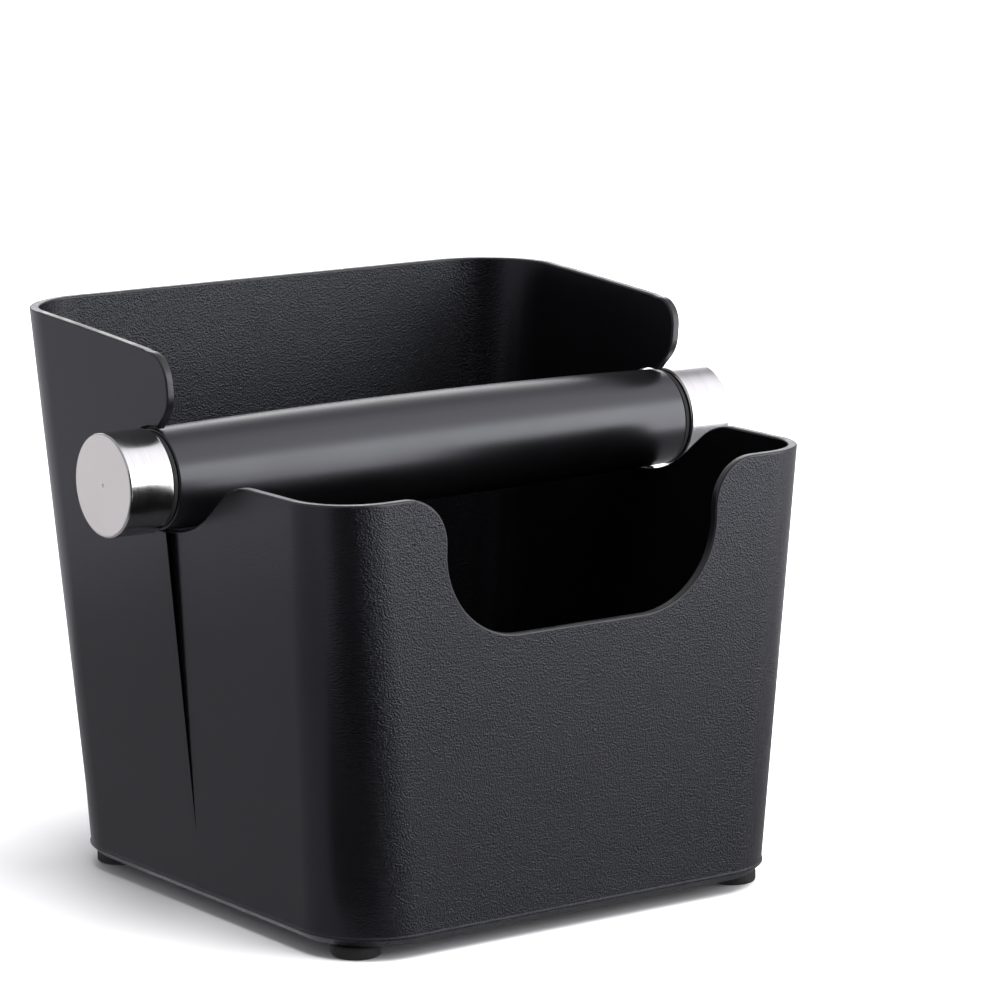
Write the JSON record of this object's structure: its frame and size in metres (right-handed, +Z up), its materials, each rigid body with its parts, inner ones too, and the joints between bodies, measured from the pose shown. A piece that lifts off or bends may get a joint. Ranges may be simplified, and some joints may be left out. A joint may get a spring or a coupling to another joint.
{
  "type": "espresso knock box",
  "caption": "Open moulded tub with a high back, a low notched front wall and a rubber covered knock bar that lifts out of its side seats.",
  "frame": {"origin": "on the ground, at the middle of the whole object", "axes": "+X along the knock bar, to the right of a person who faces the low front wall; +Y towards the high back wall; +Z up"},
  "size_m": [0.156, 0.1216, 0.123],
  "materials": {
    "black_plastic": "black ABS with a fine moulded leather grain",
    "sleeve_rubber": "smooth satin black rubber",
    "foot_rubber": "dull black rubber",
    "turned_steel": "turned and fine brushed stainless steel",
    "tube_steel": "plain drawn steel tube"
  },
  "bodies": {
    "tub": {"tub": "black_plastic", "foot_front_left": "foot_rubber", "foot_front_right": "foot_rubber", "foot_back_left": "foot_rubber", "foot_back_right": "foot_rubber"},
    "knock_bar": {"bar_core_tube": "tube_steel", "bar_sleeve": "sleeve_rubber", "end_cap_left": "turned_steel", "end_cap_right": "turned_steel", "cap_ring_left": "foot_rubber", "cap_ring_right": "foot_rubber"}
  },
  "joints": [
    {"name": "bar_lift", "type": "slide", "parent": "tub", "child": "knock_bar", "axis": [0, -0.8704, 0.4924], "range_m": [0, 0.06]}
  ]
}
